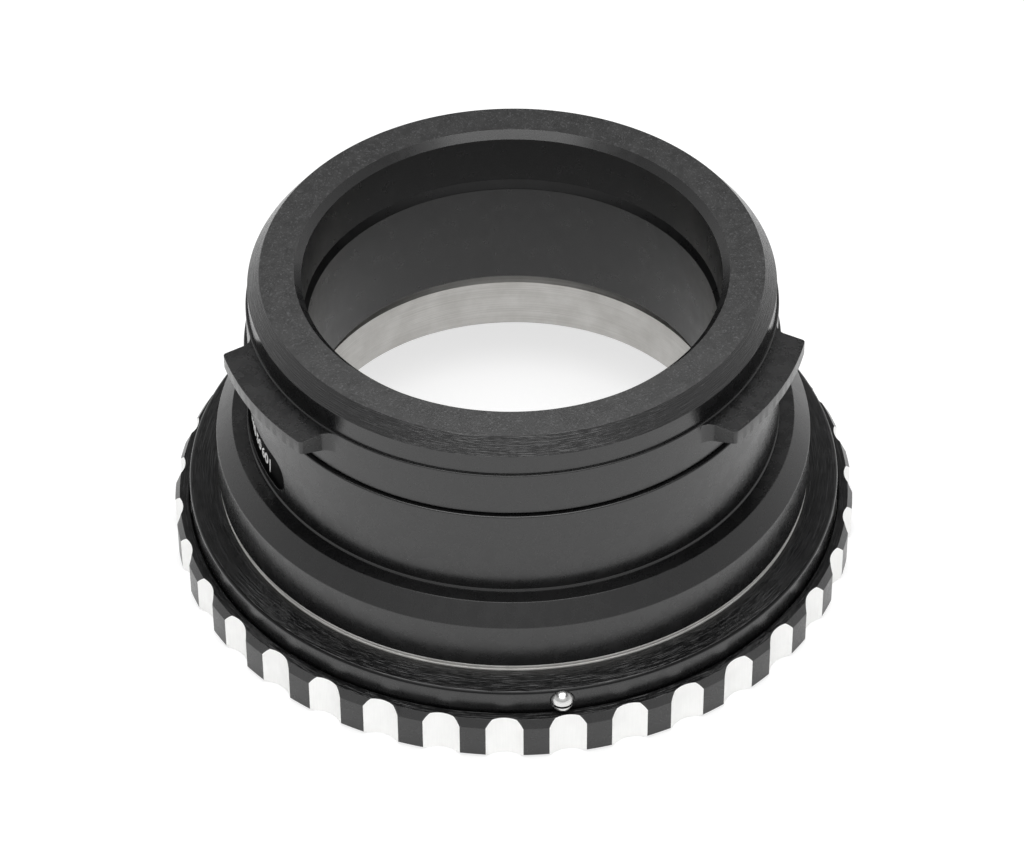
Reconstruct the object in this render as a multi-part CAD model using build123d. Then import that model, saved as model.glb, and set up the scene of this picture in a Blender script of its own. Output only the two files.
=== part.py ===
from build123d import *
import math
import os

# Lens mount adapter: a stack of turned rings standing on its scalloped locking ring.
# Millimetres. z = 0 is the lower face of the locking ring, +Z runs along the optical axis
# towards the camera, and angles are measured from +X towards +Y.

# Heights, from the bottom up
ring_height = 5.4
ring_floor = 1.9
glide_gap = 0.1
washer_thickness = 0.3
flange_height = 5.95
flange_web = 2.65
shim_thickness = 0.3
seat_plate = 0.5
seat_sleeve_height = 7.75
collar_height = 8.0
tube_height = 11.05
barrel_foot_height = 5.65
pilot_height = 2.55
rim_height = 1.8

# The barrel's radius is the camera mount's size, and the other radii step in and out from it
barrel_radius = 30.0
pilot_step = 0.3
lug_reach = 3.5
tube_step = 0.45
collar_shoulder = 3.75
plate_inset = 0.05
flange_step = 3.45
ring_wall = 1.77
barrel_shoulder = 2.5
spigot_wall = 2.1
liner_wall = 2.15
liner_step = 0.4
seat_sleeve_wall = 1.3
flange_wall = 4.35
flange_web_width = 4.8
shim_bore_step = 0.4
passage_step = 1.6
claw_reach = 3.7

# Clearances
slip_clearance = 0.05
running_clearance = 0.08
thread_clearance = 0.03
end_gap = 0.06

# How far a cutter runs on past the faces that it opens
overcut = 1.0

# Turned edges
edge_break = 0.12
seam_chamfer = 0.28
rim_chamfer = 1.4
bore_chamfer = 0.8
bore_chamfer_height = 0.85
liner_chamfer_height = 1.05
liner_depth = 6.85
spigot_foot_gap = 0.95
tube_sink = 0.5
seat_top_chamfer = 1.0
seat_top_chamfer_height = 1.6
seat_foot_chamfer = 0.5
seat_land = 0.1
collar_chamfer = 1.9
collar_chamfer_height = 2.2
flange_chamfer = 0.4
flange_chamfer_height = 0.5
ring_chamfer = 0.57
ring_chamfer_height = 0.95
ring_foot_chamfer = 0.35
ring_bore_chamfer = 0.18

# Camera-side lugs
lug_count = 3
lug_centre_angle = 211.35
lug_half_width = 8.65
lug_drop = 0.2
lug_edge_height = 1.65
lug_root_height = 2.6
lug_chamfer = 0.12
lug_tip_radius = 0.45
lug_root_radius = 1.45

# Scallops of the locking ring
scallop_count = 35
scallop_angle = 268.2
scallop_width = 4.3
scallop_depth = 0.9

# Claws of the locking ring, which hold the lens
claw_count = 3
claw_centre_angle = 270.0
claw_span = 42.0
claw_corner_radius = 0.8

# Turn of the locking ring, its stop and its retaining wire
turn_range = 60.0
stop_pin_radius = 0.6
stop_pin_angle = 100.0
stop_pin_seat = 2.2
stop_pin_foot_gap = 0.3
stop_slot_floor = 0.5
wire_width = 0.6
wire_thickness = 0.6
wire_rise = 2.0
wire_gap_angle = 8.0
wire_centre_angle = 190.0
washer_side_gap = 0.3

# Recess for the markings in the side of the tube
recess_centre_angle = 187.0
recess_span = 51.0
recess_height = 4.4
recess_foot = 1.1
recess_depth = 0.45

# Fasteners and pins
flange_screw_count = 6
flange_screw_radius = 1.0
flange_screw_head_radius = 1.9
flange_screw_length = 7.0
flange_screw_recess = 0.05
flange_screw_hole_radius = 1.15
flange_screw_slot = 0.4
flange_screw_slot_depth = 0.5
tapped_hole_extra = 0.6
index_angle = 277.9
index_screw_radius = 0.7
index_screw_length = 3.8
index_head_radius = 1.3
index_head_height = 0.95
index_head_rim = 0.3
index_spot_depth = 0.3
index_slot = 0.34
index_slot_depth = 0.4
barrel_lock_radius = 0.8
barrel_lock_length = 4.0
barrel_lock_sink = 0.2
barrel_lock_slot = 0.3
barrel_lock_slot_depth = 0.5
lens_pin_radius = 1.0
lens_pin_reach = 1.4
lens_pin_seat = 2.0

# Heights and radii that follow from the sizes above
flange_low = ring_floor + glide_gap + washer_thickness
flange_top = flange_low + flange_height
web_low = flange_top - flange_web
shim_top = flange_top + shim_thickness
plate_top = shim_top + seat_plate
seat_sleeve_top = plate_top + seat_sleeve_height
collar_top = plate_top + collar_height
tube_top = collar_top + tube_height
ledge = tube_top + barrel_foot_height
rim_low = ledge + pilot_height
top = rim_low + rim_height
liner_top = top - liner_depth
liner_low = seat_sleeve_top + end_gap
spigot_low = plate_top + spigot_foot_gap
wire_height = ring_floor + wire_rise
stop_pin_low = stop_slot_floor + stop_pin_foot_gap
index_screw_height = (ring_height + flange_top) / 2
pilot_radius = barrel_radius - pilot_step
spigot_radius = barrel_radius - barrel_shoulder
spigot_bore = spigot_radius - spigot_wall
liner_radius = spigot_bore - slip_clearance
liner_bore_radius = liner_radius - liner_wall
barrel_bore_radius = liner_bore_radius + liner_step
seat_sleeve_radius = spigot_bore - 2 * slip_clearance
seat_bore_radius = seat_sleeve_radius - seat_sleeve_wall
body_bore = spigot_radius + slip_clearance
lug_radius = barrel_radius + lug_reach
tube_radius = barrel_radius + tube_step
collar_radius = tube_radius + collar_shoulder
seat_plate_radius = collar_radius - plate_inset
flange_radius = collar_radius + flange_step
cavity_radius = flange_radius - flange_wall
web_bore_radius = cavity_radius - flange_web_width
web_circle = (web_bore_radius + cavity_radius) / 2
lens_passage_radius = cavity_radius + passage_step
claw_radius = lens_passage_radius - claw_reach
stop_pin_circle = (lens_passage_radius + flange_radius) / 2
ring_bore = flange_radius + running_clearance
ring_radius = ring_bore + ring_wall
wire_circle = flange_radius + running_clearance / 2


def at_angle(angle, radius, height):
    """Point at an angle and radius about the optical axis."""
    turn = math.radians(angle)
    return (radius * math.cos(turn), radius * math.sin(turn), height)


def section(points):
    """Face in the XZ plane from (radius, height) corners."""
    return make_face(Polyline(*[(r, 0, z) for r, z in points], close=True))


def turned(points):
    """Ring turned about the optical axis from (radius, height) corners."""
    return revolve(section(points), Axis.Z, 360)


def plain_ring(inner, outer, low, high):
    """Square-edged ring."""
    return turned([(inner, low), (outer, low), (outer, high), (inner, high)])


def radial(shape, angle, radius, height):
    """Shape whose axis is Z, turned to point outwards at an angle and radius."""
    return Pos(*at_angle(angle, radius, height)) * Rot(0, 0, angle) * Rot(0, 90, 0) * shape


def upright(radius, low, high, angle, circle):
    """Round pin or hole parallel to the optical axis."""
    x, y, z = at_angle(angle, circle, low)
    return Pos(x, y, z) * Cylinder(radius, high - low, align=(Align.CENTER, Align.CENTER, Align.MIN))


def flange_screw_angles():
    """Places of the flange screws, midway between the index and its neighbours."""
    step = 360 / flange_screw_count
    return [index_angle + step * (n + 0.5) for n in range(flange_screw_count)]


def flange_screw_holes(radius, low, high):
    """Straight holes where the flange screws go."""
    return [upright(radius, low, high, a, web_circle) for a in flange_screw_angles()]


def driver_slot(width, depth, head_radius):
    """Cutter for a screwdriver slot, centred on the face that it is cut into."""
    return Box(2 * (head_radius + overcut), width, 2 * depth)


def barrel_lock_places():
    """Points on the joint between spigot and collar, midway between lugs, at the spigot's foot."""
    circle = spigot_radius + slip_clearance / 2
    return [at_angle(lug_centre_angle + (n + 0.5) * 360 / lug_count, circle, spigot_low)
            for n in range(lug_count)]


def barrel_lock_holes():
    """Tapped holes, half in the spigot and half in the collar, open at the spigot's foot."""
    depth = barrel_lock_sink + barrel_lock_length + tapped_hole_extra
    reach = spigot_low - plate_top
    hole = Pos(0, 0, -reach) * Cylinder(barrel_lock_radius + thread_clearance, depth + reach,
                                        align=(Align.CENTER, Align.CENTER, Align.MIN))
    return [Pos(*place) * hole for place in barrel_lock_places()]


def lug_plan():
    """Plan of the barrel with its lugs: parallel flanks, rounded tips and milled roots."""
    reach = 2 * lug_radius
    strip = Pos(reach / 2, 0) * Rectangle(reach, 2 * lug_half_width)
    lugs = Sketch() + [Rot(0, 0, lug_centre_angle + n * 360 / lug_count) * (Circle(lug_radius) & strip)
                       for n in range(lug_count)]
    plan = Circle(barrel_radius) + lugs

    def on_circle(radius):
        return [v for v in plan.vertices() if abs(math.hypot(v.X, v.Y) - radius) < 0.01]

    plan = fillet(on_circle(lug_radius), lug_tip_radius)
    return fillet(on_circle(barrel_radius), lug_root_radius)


def bayonet_barrel():
    """Camera-side barrel: rim, pilot wall, three wedge lugs and a spigot down into the collar."""
    shell = turned([
        (spigot_bore, spigot_low),
        (spigot_radius - seam_chamfer, spigot_low),
        (spigot_radius, spigot_low + seam_chamfer),
        (spigot_radius, tube_top),
        (barrel_radius - seam_chamfer, tube_top),
        (barrel_radius, tube_top + seam_chamfer),
        (barrel_radius, ledge),
        (pilot_radius, ledge),
        (pilot_radius, rim_low),
        (pilot_radius - rim_chamfer, top),
        (barrel_bore_radius + bore_chamfer, top),
        (barrel_bore_radius, top - bore_chamfer_height),
        (barrel_bore_radius, liner_top + end_gap),
        (spigot_bore, liner_top + end_gap),
    ])
    lug_top = ledge - lug_drop
    root = (spigot_radius + barrel_radius) / 2
    wedge = turned([
        (root, lug_top - lug_root_height),
        (barrel_radius, lug_top - lug_root_height),
        (lug_radius, lug_top - lug_edge_height),
        (lug_radius, lug_top - lug_chamfer),
        (lug_radius - lug_chamfer, lug_top),
        (root, lug_top),
    ])
    lugs = wedge & (Pos(0, 0, tube_top) * extrude(lug_plan(), top - tube_top))
    return shell + lugs - barrel_lock_holes()


def barrel_lock_screws():
    """Slotted grub screws along the spigot's thread, which key the barrel to the collar."""
    blank = Cylinder(barrel_lock_radius, barrel_lock_length, align=(Align.CENTER, Align.CENTER, Align.MIN))
    slot = driver_slot(barrel_lock_slot, barrel_lock_slot_depth, barrel_lock_radius)
    screw = Pos(0, 0, barrel_lock_sink) * (blank - slot)
    return Compound(children=[Pos(*place) * screw for place in barrel_lock_places()])


def inner_liner():
    """Black light-trap liner of the bore, held between the barrel's step and the lens seat."""
    return turned([
        (liner_bore_radius, liner_low),
        (liner_radius, liner_low),
        (liner_radius, liner_top),
        (barrel_bore_radius, liner_top),
        (liner_bore_radius, liner_top - liner_chamfer_height),
    ])


def marking_recess(low, high):
    """Cutter for the long recess with round ends in the side of the tube."""
    middle = (low + high) / 2
    half = (high - low) / 2
    floor = tube_radius - recess_depth
    outside = tube_radius + overcut
    skin = plain_ring(floor, outside, low - overcut, high + overcut)
    end_turn = math.degrees(half / tube_radius)
    start = recess_centre_angle - recess_span / 2 + end_turn
    sweep = recess_span - 2 * end_turn
    band = section([(floor, low), (outside, low), (outside, high), (floor, high)])
    cutter = Rot(0, 0, start) * revolve(band, Axis.Z, sweep)
    for angle in (start, start + sweep):
        cutter += skin & radial(Cylinder(half, 2 * (recess_depth + overcut)), angle, tube_radius, middle)
    return cutter


def body_tube():
    """Tube clamped between the barrel and the collar's counterbore, with the recess for the markings."""
    tube = turned([
        (body_bore, collar_top - tube_sink),
        (tube_radius, collar_top - tube_sink),
        (tube_radius, tube_top - edge_break),
        (tube_radius - edge_break, tube_top),
        (body_bore, tube_top),
    ])
    low = collar_top + recess_foot
    return tube - marking_recess(low, low + recess_height)


def mount_collar():
    """Bevelled collar that the barrel screws into, tapped from below for the flange screws."""
    counterbore = tube_radius + slip_clearance
    collar = turned([
        (body_bore, plate_top),
        (collar_radius - edge_break, plate_top),
        (collar_radius, plate_top + edge_break),
        (collar_radius, collar_top - collar_chamfer_height),
        (collar_radius - collar_chamfer, collar_top),
        (counterbore + edge_break, collar_top),
        (counterbore, collar_top - edge_break),
        (counterbore, collar_top - tube_sink),
        (body_bore, collar_top - tube_sink),
    ])
    depth = flange_screw_recess + flange_screw_length - (plate_top - web_low) + tapped_hole_extra
    holes = flange_screw_holes(flange_screw_radius + thread_clearance, plate_top - overcut, plate_top + depth)
    return collar - holes - barrel_lock_holes()


def lens_seat_ring():
    """Bare metal lens seat: a plate with a raised land for the lens and a sleeve up into the barrel."""
    land_low = shim_top - seat_land
    land_radius = web_bore_radius - 2 * slip_clearance
    seat = turned([
        (seat_bore_radius + seat_foot_chamfer, land_low),
        (land_radius, land_low),
        (land_radius, shim_top),
        (seat_plate_radius, shim_top),
        (seat_plate_radius, plate_top),
        (seat_sleeve_radius, plate_top),
        (seat_sleeve_radius, seat_sleeve_top),
        (seat_bore_radius + seat_top_chamfer, seat_sleeve_top),
        (seat_bore_radius, seat_sleeve_top - seat_top_chamfer_height),
        (seat_bore_radius, land_low + seat_foot_chamfer),
    ])
    return seat - flange_screw_holes(flange_screw_hole_radius, shim_top - overcut, plate_top + overcut)


def register_shim():
    """Shim under the seat that sets the register distance."""
    shim = plain_ring(web_bore_radius + shim_bore_step, seat_plate_radius, flange_top, shim_top)
    return shim - flange_screw_holes(flange_screw_hole_radius, flange_top - overcut, shim_top + overcut)


def countersink(head_radius, hole_radius, low):
    """Cone that a countersunk head fills, with its wide end down."""
    depth = head_radius - hole_radius
    return Pos(0, 0, low + depth / 2) * Cone(head_radius, hole_radius, depth)


def mount_flange():
    """Black flange: an outer wall that the locking ring turns on and a web that is screwed up."""
    groove = wire_circle - wire_width / 2 - slip_clearance
    groove_low = wire_height - wire_thickness / 2 - slip_clearance
    groove_high = wire_height + wire_thickness / 2 + slip_clearance
    flange = turned([
        (web_bore_radius, web_low),
        (cavity_radius, web_low),
        (cavity_radius, flange_low),
        (flange_radius, flange_low),
        (flange_radius, groove_low),
        (groove, groove_low),
        (groove, groove_high),
        (flange_radius, groove_high),
        (flange_radius, flange_top - flange_chamfer_height),
        (flange_radius - flange_chamfer, flange_top),
        (web_bore_radius, flange_top),
    ])
    head = countersink(flange_screw_head_radius + slip_clearance, flange_screw_hole_radius,
                       web_low + flange_screw_recess)
    mouth = flange_screw_head_radius + slip_clearance
    for angle in flange_screw_angles():
        flange -= Pos(*at_angle(angle, web_circle, 0)) * head
        flange -= upright(mouth, web_low - overcut, web_low + flange_screw_recess, angle, web_circle)
    flange -= flange_screw_holes(flange_screw_hole_radius, web_low - overcut, flange_top + overcut)
    spot = flange_radius - index_spot_depth
    flange -= radial(Cylinder(index_head_radius + slip_clearance, index_spot_depth + overcut,
                              align=(Align.CENTER, Align.CENTER, Align.MIN)),
                     index_angle, spot, index_screw_height)
    flange -= radial(Cylinder(index_screw_radius + thread_clearance, 2 * (index_screw_length + end_gap)),
                     index_angle, spot, index_screw_height)
    flange -= upright(stop_pin_radius, flange_low - overcut, flange_low + stop_pin_seat, stop_pin_angle,
                      stop_pin_circle)
    return flange - upright(lens_pin_radius, web_low - overcut, web_low + lens_pin_seat, index_angle,
                            web_circle)


def flange_screws():
    """Slotted countersunk screws that draw the flange, shim and seat up to the collar."""
    low = web_low + flange_screw_recess
    depth = flange_screw_head_radius - flange_screw_radius
    blank = countersink(flange_screw_head_radius, flange_screw_radius, low)
    blank += Pos(0, 0, low + depth) * Cylinder(flange_screw_radius, flange_screw_length - depth,
                                               align=(Align.CENTER, Align.CENTER, Align.MIN))
    slot = driver_slot(flange_screw_slot, flange_screw_slot_depth, flange_screw_head_radius)
    screw = blank - Pos(0, 0, low) * slot
    places = [at_angle(a, web_circle, 0) for a in flange_screw_angles()]
    return Compound(children=[Pos(*place) * Rot(0, 0, a) * screw
                              for place, a in zip(places, flange_screw_angles())])


def lens_index_pin():
    """Pin that keys the lens against turning, below the index screw."""
    return upright(lens_pin_radius, web_low - lens_pin_reach, web_low + lens_pin_seat, index_angle,
                   web_circle)


def index_screw():
    """Slotted domed screw in the flange's edge that marks the lens index."""
    seat = flange_radius - index_spot_depth
    dome_height = index_head_height - index_head_rim
    ball = (index_head_radius ** 2 + dome_height ** 2) / (2 * dome_height)
    rim = Cylinder(index_head_radius, index_head_height, align=(Align.CENTER, Align.CENTER, Align.MIN))
    head = rim & (Pos(0, 0, index_head_height - ball) * Sphere(ball))
    shank = Cylinder(index_screw_radius, index_screw_length, align=(Align.CENTER, Align.CENTER, Align.MAX))
    slot = driver_slot(index_slot, index_slot_depth, index_head_radius)
    screw = head + shank - Pos(0, 0, index_head_height) * Rot(0, 0, 90) * slot
    return radial(screw, index_angle, seat, index_screw_height)


def glide_washer():
    """Thin slip washer under the flange, notched for the stop pin."""
    inner = lens_passage_radius + washer_side_gap
    outer = flange_radius - washer_side_gap
    washer = plain_ring(inner, outer, flange_low - washer_thickness, flange_low)
    return washer - upright(stop_pin_radius + slip_clearance, 0, flange_low + overcut, stop_pin_angle,
                            stop_pin_circle)


def ring_stop_pin():
    """Pin under the flange that runs in the locking ring's blind slot."""
    return upright(stop_pin_radius, stop_pin_low, flange_low + stop_pin_seat, stop_pin_angle,
                   stop_pin_circle)


def retaining_wire():
    """Open flat-wire ring, half in the flange and half in the locking ring."""
    wire = Pos(wire_circle, 0, wire_height) * Rot(90, 0, 0) * Rectangle(wire_width, wire_thickness)
    start = wire_centre_angle + wire_gap_angle / 2
    return Rot(0, 0, start) * revolve(wire, Axis.Z, 360 - wire_gap_angle)


def stop_slot():
    """Arc slot for the stop pin: from the pin's place at rest, as long as the ring's turn."""
    half = stop_pin_radius + slip_clearance
    inner, outer = stop_pin_circle - half, stop_pin_circle + half
    band = section([(inner, stop_slot_floor), (outer, stop_slot_floor),
                    (outer, flange_low), (inner, flange_low)])
    first = stop_pin_angle - turn_range
    slot = Rot(0, 0, first) * revolve(band, Axis.Z, turn_range)
    for angle in (first, stop_pin_angle):
        slot += upright(half, stop_slot_floor, flange_low, angle, stop_pin_circle)
    return slot


def claw_gap_plan():
    """Plan of one gap between claws, which a lens lug passes."""
    gap = 360 / claw_count - claw_span
    inner, outer = claw_radius - overcut, lens_passage_radius
    lobe = make_face(Polyline((0, 0), at_angle(-gap / 2, 2 * outer, 0)[:2],
                              at_angle(gap / 2, 2 * outer, 0)[:2], close=True))
    plan = (lobe & Circle(outer)) - Circle(inner)
    corners = [v for v in plan.vertices() if abs(math.hypot(v.X, v.Y) - outer) < 0.01]
    return fillet(corners, claw_corner_radius)


def locking_ring():
    """Scalloped ring that turns on the flange, with three inward claws for the lens."""
    groove = wire_circle + wire_width / 2 + slip_clearance
    groove_low = wire_height - wire_thickness / 2 - running_clearance
    groove_high = wire_height + wire_thickness / 2 + running_clearance
    ring = turned([
        (claw_radius, 0),
        (ring_radius - ring_foot_chamfer, 0),
        (ring_radius, ring_foot_chamfer),
        (ring_radius, ring_height - ring_chamfer_height),
        (ring_radius - ring_chamfer, ring_height),
        (ring_bore + ring_bore_chamfer, ring_height),
        (ring_bore, ring_height - ring_bore_chamfer),
        (ring_bore, groove_high),
        (groove, groove_high),
        (groove, groove_low),
        (ring_bore, groove_low),
        (ring_bore, ring_floor),
        (claw_radius, ring_floor),
    ])
    gap_plan = claw_gap_plan()
    for n in range(claw_count):
        turn = claw_centre_angle + (n + 0.5) * 360 / claw_count
        ring -= Rot(0, 0, turn) * (Pos(0, 0, -overcut) * extrude(gap_plan, ring_floor + 2 * overcut))
    cutter = ((scallop_width / 2) ** 2 + scallop_depth ** 2) / (2 * scallop_depth)
    centre = ring_radius - scallop_depth + cutter
    ring -= [upright(cutter, -overcut, ring_height + overcut, scallop_angle + n * 360 / scallop_count, centre)
             for n in range(scallop_count)]
    return ring - stop_slot()


sub_parts = {
    "bayonet_barrel": bayonet_barrel,
    "barrel_lock_screws": barrel_lock_screws,
    "inner_liner": inner_liner,
    "body_tube": body_tube,
    "mount_collar": mount_collar,
    "lens_seat_ring": lens_seat_ring,
    "register_shim": register_shim,
    "mount_flange": mount_flange,
    "flange_screws": flange_screws,
    "lens_index_pin": lens_index_pin,
    "index_screw": index_screw,
    "glide_washer": glide_washer,
    "ring_stop_pin": ring_stop_pin,
    "retaining_wire": retaining_wire,
    "locking_ring": locking_ring,
}

os.makedirs("parts", exist_ok=True)
for name, build in sub_parts.items():
    export_step(build(), f"parts/{name}.step")
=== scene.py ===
"""Lens mount adapter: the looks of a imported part, photographed on a white table.

Lengths in the classes are millimetres, as on a maker's drawing, and Blender's are metres.
"""

import logging
import math
from dataclasses import dataclass
from enum import Enum
from typing import Callable, Sequence

import bmesh
import bpy
from mathutils import Matrix, Vector


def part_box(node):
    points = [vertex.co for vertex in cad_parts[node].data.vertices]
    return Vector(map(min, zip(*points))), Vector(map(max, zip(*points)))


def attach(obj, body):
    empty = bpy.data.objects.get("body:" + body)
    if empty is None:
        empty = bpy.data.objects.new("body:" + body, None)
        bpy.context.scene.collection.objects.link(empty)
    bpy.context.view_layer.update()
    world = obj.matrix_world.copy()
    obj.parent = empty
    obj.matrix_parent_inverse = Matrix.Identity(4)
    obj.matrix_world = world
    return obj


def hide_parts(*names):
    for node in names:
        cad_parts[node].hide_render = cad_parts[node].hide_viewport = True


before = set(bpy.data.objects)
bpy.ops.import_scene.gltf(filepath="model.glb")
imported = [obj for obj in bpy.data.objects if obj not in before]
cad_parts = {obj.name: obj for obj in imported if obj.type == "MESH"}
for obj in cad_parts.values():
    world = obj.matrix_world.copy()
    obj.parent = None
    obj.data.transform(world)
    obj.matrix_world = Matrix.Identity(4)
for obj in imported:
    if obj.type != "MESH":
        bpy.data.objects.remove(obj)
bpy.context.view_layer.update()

Material = bpy.types.Material
Piece = bpy.types.Object
Pair = tuple[float, float]
Triple = tuple[float, float, float]

log = logging.getLogger("adapter")

MM = 0.001
BODY = "adapter_body"
RING_BODY = "lock_ring"
WELD = 0.0005  # closer corners are one
SLIVER = 0.02  # the same before a bevel, which a short edge would stop
FLAT = 0.97  # least rise of a flat top's normal
NEAR = 0.05  # room in a test of a face's place
OVER = 1.0  # how far cutters reach past what they cut
SORT_FROM = (0.0137, 0.0211, 0.0093)  # a point that no two corners lie equally far from
AXIS = 0.0001  # radius that stands for the axis, where corners then merge


class SlotName(Enum):
    """Material slots of the record."""

    BLACK = "black_anodised"
    MATT = "matt_black"
    RING = "ring_black"
    BARE = "bare_steel"
    SCREW = "screw_steel"
    PLASTIC = "slip_plastic"


class Value:
    """An output socket of a node tree, with arithmetic that adds Math nodes."""

    def __init__(self, sheet: "NodeSheet", socket: bpy.types.NodeSocket) -> None:
        """Wraps a socket of that sheet."""
        self.sheet = sheet
        self.socket = socket

    def _math(self, operation: str, *terms: "Value | float") -> "Value":
        """Adds one Math node, with its terms in order."""
        return self.sheet.add("ShaderNodeMath", {"operation": operation}, dict(enumerate(terms)))

    def __add__(self, other: "Value | float") -> "Value":
        """Sum."""
        return self._math("ADD", self, other)

    __radd__ = __add__

    def __sub__(self, other: "Value | float") -> "Value":
        """Difference."""
        return self._math("SUBTRACT", self, other)

    def __rsub__(self, other: float) -> "Value":
        """Difference with a plain number first."""
        return self._math("SUBTRACT", other, self)

    def __mul__(self, other: "Value | float") -> "Value":
        """Product."""
        return self._math("MULTIPLY", self, other)

    __rmul__ = __mul__

    def size(self) -> "Value":
        """Absolute value."""
        return self._math("ABSOLUTE", self)

    def spread(self, low: float, high: float, start: float = 0.0, end: float = 1.0) -> "Value":
        """Maps low to start and high to end, smoothly and clamped."""
        return self.sheet.add("ShaderNodeMapRange", {"interpolation_type": "SMOOTHSTEP"},
                              {0: self, 1: low, 2: high, 3: start, 4: end})


class NodeSheet:
    """A node tree, written with short calls."""

    def __init__(self, tree: bpy.types.NodeTree) -> None:
        """Starts with that tree, emptied."""
        self.tree = tree
        self.tree.nodes.clear()

    def add(self, kind: str, settings: dict, inputs: dict, output: int | str = 0) -> Value:
        """Adds one node.

        Args:
            kind: Blender's node type.
            settings: The node's properties, set before its sockets.
            inputs: Sockets by number or name, with a value or a link for each.
            output: The output socket that is handed back.

        Returns:
            That output.
        """
        node = self.tree.nodes.new(kind)
        for name, value in settings.items():
            setattr(node, name, value)
        for key, value in inputs.items():
            socket = node.inputs[key]
            if isinstance(value, Value):
                self.tree.links.new(value.socket, socket)
            else:
                socket.default_value = value
        return Value(self, node.outputs[output]) if node.outputs else Value(self, None)

    def place(self) -> Value:
        """The object's own coordinates."""
        return self.add("ShaderNodeTexCoord", {}, {}, "Object")

    def axes(self, vector: Value) -> tuple[Value, Value, Value]:
        """The three numbers of a vector."""
        node = self.tree.nodes.new("ShaderNodeSeparateXYZ")
        self.tree.links.new(vector.socket, node.inputs[0])
        return tuple(Value(self, node.outputs[n]) for n in range(3))

    def vector(self, x: Value | float, y: Value | float, z: Value | float) -> Value:
        """A vector from three numbers."""
        return self.add("ShaderNodeCombineXYZ", {}, {0: x, 1: y, 2: z})

    def noise(self, at: Value, scale: float, detail: float = 2.0, rough: float = 0.5) -> Value:
        """Noise from 0 to 1, with that many lumps to the unit of at; rough weighs its finer octaves."""
        return self.add("ShaderNodeTexNoise", {"noise_dimensions": "3D"},
                        {"Vector": at, "Scale": scale, "Detail": detail, "Roughness": rough})

    def blend(self, share: Value, low: Value | Sequence[float], high: Sequence[float]) -> Value:
        """Mixes two colours, where a share of 0 gives low, plain or from a node, and 1 gives high."""
        return self.add("ShaderNodeMix", {"data_type": "RGBA"},
                        {0: share, 6: low if isinstance(low, Value) else (*low, 1.0), 7: (*high, 1.0)}, 2)

    def relief(self, height: Value, depth: float) -> Value:
        """Bump from a height of 0 to 1, where depth is the metres between them."""
        return self.add("ShaderNodeBump", {}, {"Height": height, "Distance": depth, "Strength": 1.0})

    def shine(self, **sockets: "Value | float | Sequence[float]") -> Value:
        """Adds a Principled shader; the sockets' names have underscores for spaces."""
        return self.add("ShaderNodeBsdfPrincipled", {},
                        {name.replace("_", " "): value for name, value in sockets.items()})


class FinishSheet(NodeSheet):
    """The node tree of one material."""

    def __init__(self, name: str) -> None:
        """Starts an empty material of that name."""
        self.material = bpy.data.materials.new(name)
        self.material.use_nodes = True
        super().__init__(self.material.node_tree)

    def surface(self, **sockets: "Value | float | Sequence[float]") -> Material:
        """Ends the sheet with a Principled shader and hands the material back."""
        return self.ends_with(self.shine(**sockets))

    def ends_with(self, shader: Value) -> Material:
        """Ends the sheet with that shader and hands the material back."""
        self.add("ShaderNodeOutputMaterial", {}, {"Surface": shader})
        return self.material


@dataclass(frozen=True)
class BlackAnodise:
    """Black anodised aluminium: a thin dark gloss over turning marks and a fine speckled grain."""

    name: str
    colour: Triple = (0.0026, 0.0026, 0.0028)
    roughness: float = 0.27
    gloss: float = 0.5
    index: float = 1.70
    grain_depth: float = 0.0010
    grain_scale: float = 7000
    mark_depth: float = 0.0003
    mark_pitch: float = 0.11
    mark_length: float = 22.0
    mark_slope: float = 0.6
    dust_scale: float = 600
    dust_tones: Pair = (0.9, 1.15)
    shades: Pair = (0.3, 2.0)
    scratch_and_highlight_share: float = 0.0
    specks: float = 0.0
    # Colour of the scratches and specks; on the lugs' worn edge faces it is also a painted highlight.
    scratch_and_highlight_colour: Triple = (0.05, 0.05, 0.052)

    def build(self) -> Material:
        """Writes the material."""
        sheet = FinishSheet(self.name)
        at = sheet.place()
        x, y, z = sheet.axes(at)
        radius = sheet.add("ShaderNodeVectorMath", {"operation": "LENGTH"},
                           {0: sheet.vector(x, y, 0.0)}, "Value")
        across = (radius - z * self.mark_slope) * (1 / (self.mark_pitch * MM))
        along = 1 / (self.mark_length * MM)
        marks = sheet.noise(sheet.vector(x * along, y * along, across), 1.0, rough=0.6)
        grain = sheet.noise(at, self.grain_scale, rough=0.6)
        dust = sheet.noise(at, self.dust_scale, 3.0, 0.55)
        height = marks * self.mark_depth + grain * self.grain_depth
        tone = dust.spread(0.3, 0.75, *self.dust_tones)
        dark, light = ([c * shade for c in self.colour] for shade in self.shades)
        colour = sheet.blend(grain.spread(0.3, 0.7), dark, light)
        # Lighter streaks along the marks: scratches, and on the lugs' edge faces wear with a painted highlight.
        if self.scratch_and_highlight_share:
            colour = sheet.blend(marks.spread(0.5, 0.75) * self.scratch_and_highlight_share, colour, self.scratch_and_highlight_colour)
        if self.specks:
            colour = sheet.blend(grain.spread(0.56, 0.70) * self.specks, colour, self.scratch_and_highlight_colour)
        return sheet.surface(Base_Color=colour, Roughness=tone * self.roughness, IOR=self.index,
                             Specular_IOR_Level=self.gloss, Normal=sheet.relief(height, MM))


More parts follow.
